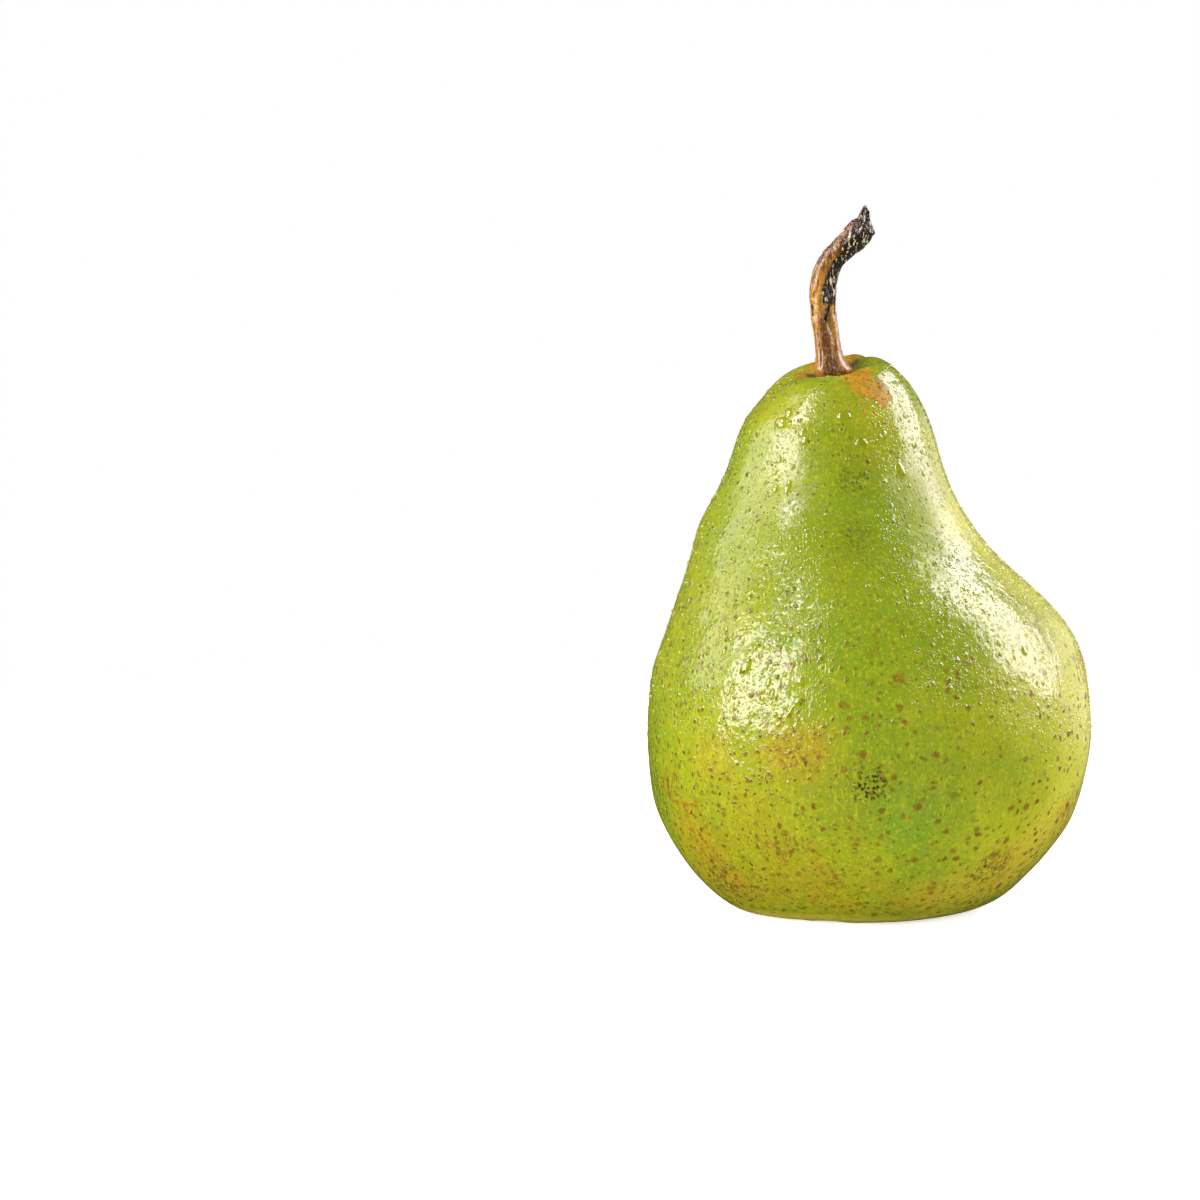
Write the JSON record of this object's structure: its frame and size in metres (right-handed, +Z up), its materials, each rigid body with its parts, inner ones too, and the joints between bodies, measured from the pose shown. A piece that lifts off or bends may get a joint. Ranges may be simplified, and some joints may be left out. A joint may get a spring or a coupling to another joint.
{
  "type": "pear",
  "caption": "Fresh green pear that stands upright on its base, with a curved woody stem and a dried calyx in the basin underneath.",
  "frame": {"origin": "on the surface that the pear stands on, under the middle of its belly", "axes": "+Z up from the base to the stem, -Y the side that the picture shows, +X to the right there, away from the side that the neck leans to"},
  "size_m": [0.0718, 0.0724, 0.1127],
  "materials": {
    "skin": "waxy yellow-green skin with russet round the stem and brown freckles",
    "stem_wood": "orange-brown bark, nearly black along its furrows and at its broken end",
    "dried_calyx": "dull dry brown"
  },
  "bodies": {
    "root": {"fruit": "skin", "stem": "stem_wood", "calyx": "dried_calyx"}
  },
  "joints": []
}
